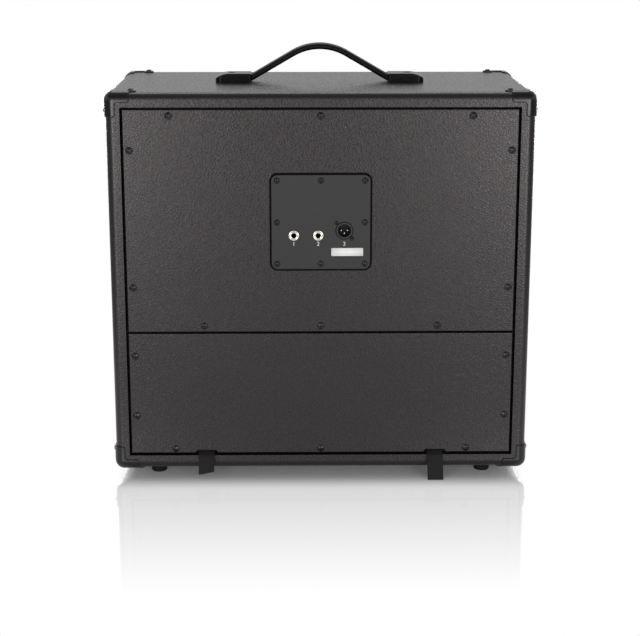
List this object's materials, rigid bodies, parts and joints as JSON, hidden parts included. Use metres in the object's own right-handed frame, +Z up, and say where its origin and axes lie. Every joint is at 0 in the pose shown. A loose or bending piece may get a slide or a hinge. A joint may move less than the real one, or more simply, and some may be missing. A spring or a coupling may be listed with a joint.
{
  "type": "guitar speaker cabinet",
  "caption": "Vinyl-covered loudspeaker cabinet with a screwed two-piece back, jack plate, strap handle, corner protectors, rubber feet and webbing pull straps.",
  "frame": {"origin": "on the floor, under the middle of the whole outline; the cabinet's own middle lies 8 mm in front of it because the pull straps stand out behind", "axes": "+Z up, -Y towards the grille front, +Y towards the screwed back with the jack plate, +X to the left as seen from the back"},
  "size_m": [0.5278, 0.2897, 0.5365],
  "materials": {
    "plywood": "birch plywood, unfinished",
    "pine": "planed softwood",
    "vinyl": "black leather-grain vinyl",
    "covered_board": "board covered with black leather-grain vinyl",
    "grille_cloth": "black woven loudspeaker cloth",
    "hook_loop": "black hook-and-loop pad",
    "black_screws": "black oxide",
    "zinc_steel": "zinc plated",
    "jack_plate": "satin black",
    "gasket_rubber": "black foam rubber",
    "nickel": "bright nickel",
    "jack_plastic": "black moulded plastic",
    "spring_brass": "bare spring strip",
    "xlr_metal": "black cast metal",
    "rubber_feet": "black rubber",
    "corner_plastic": "black moulded plastic, fine satin",
    "handle_grip": "black flexible moulded grip",
    "cap_plastic": "black moulded plastic",
    "webbing": "black woven webbing",
    "speaker_frame": "black pressed steel",
    "speaker_gasket": "dark pressed card",
    "magnet_steel": "plated steel",
    "ferrite": "dark sintered ferrite",
    "cone_paper": "dark pressed paper",
    "coil_copper": "enamelled copper",
    "doped_cloth": "doped cloth",
    "terminal_board": "laminate with tinned tabs",
    "microphone_metal": "dark satin",
    "lead_sheath": "black insulated wire"
  },
  "bodies": {
    "cabinet": {"back_panel_screws": "black_screws", "back_yoke": "magnet_steel", "baffle_battens": "pine", "baffle_board": "plywood", "bottom_panel": "plywood", "corner_protectors": "corner_plastic", "corner_screws": "black_screws", "foot_screws": "black_screws", "grille_cloth": "grille_cloth", "grille_frame": "plywood", "grille_pads": "hook_loop", "handle_bolts": "black_screws", "handle_core": "zinc_steel", "handle_strap": "handle_grip", "input_jack_housing": "jack_plastic", "input_jack_nut": "nickel", "input_jack_sleeve": "nickel", "inside_wood_screws": "zinc_steel", "jack_plate": "jack_plate", "jack_plate_gasket": "gasket_rubber", "jack_plate_screws": "black_screws", "left_handle_cap": "cap_plastic", "left_side_panel": "plywood", "link_jack_housing": "jack_plastic", "link_jack_nut": "nickel", "link_jack_sleeve": "nickel", "lower_back_panel": "covered_board", "magnet": "ferrite", "microphone_body": "microphone_metal", "microphone_bracket": "zinc_steel", "microphone_grille": "microphone_metal", "microphone_lead": "lead_sheath", "pull_strap_anchors": "webbing", "rear_battens": "pine", "rear_mid_rail": "pine", "right_handle_cap": "cap_plastic", "right_side_panel": "plywood", "rubber_feet": "rubber_feet", "speaker_basket": "speaker_frame", "speaker_bolts": "zinc_steel", "speaker_gasket": "speaker_gasket", "speaker_lead": "lead_sheath", "speaker_surround": "doped_cloth", "speaker_terminals": "terminal_board", "spider": "doped_cloth", "tee_nuts": "zinc_steel", "top_panel": "plywood", "top_plate": "magnet_steel", "upper_back_panel": "covered_board", "vinyl_covering": "vinyl", "xlr_insert": "jack_plastic", "xlr_pins": "nickel", "xlr_shell": "xlr_metal"},
    "cone_assembly": {"speaker_cone": "cone_paper", "dust_cap": "cone_paper", "voice_coil": "coil_copper"},
    "left_strap_tail": {"left_pull_strap": "webbing"},
    "right_strap_tail": {"right_pull_strap": "webbing"},
    "input_contact": {"input_jack_tip_spring": "spring_brass"},
    "link_contact": {"link_jack_tip_spring": "spring_brass"}
  },
  "joints": [
    {"name": "cone_travel", "type": "slide", "parent": "cabinet", "child": "cone_assembly", "axis": [0, -1, 0], "range_m": [-0.004, 0.004], "stiffness_N_per_m": 3000, "deforming": ["speaker_surround", "spider"]},
    {"name": "left_strap_lift", "type": "hinge", "parent": "cabinet", "child": "left_strap_tail", "pos_m": [0.145, 0.1279, 0.0307], "axis": [1, 0, 0], "range_deg": [0, 140]},
    {"name": "right_strap_lift", "type": "hinge", "parent": "cabinet", "child": "right_strap_tail", "pos_m": [-0.145, 0.1279, 0.0307], "axis": [1, 0, 0], "range_deg": [0, 140]},
    {"name": "input_contact_flex", "type": "hinge", "parent": "cabinet", "child": "input_contact", "pos_m": [0.0332, 0.1211, 0.3185], "axis": [-1, 0, 0], "range_deg": [0, 5], "stiffness_Nm_per_rad": 0.004},
    {"name": "link_contact_flex", "type": "hinge", "parent": "cabinet", "child": "link_contact", "pos_m": [0.0033, 0.1211, 0.3185], "axis": [-1, 0, 0], "range_deg": [0, 5], "stiffness_Nm_per_rad": 0.004}
  ]
}
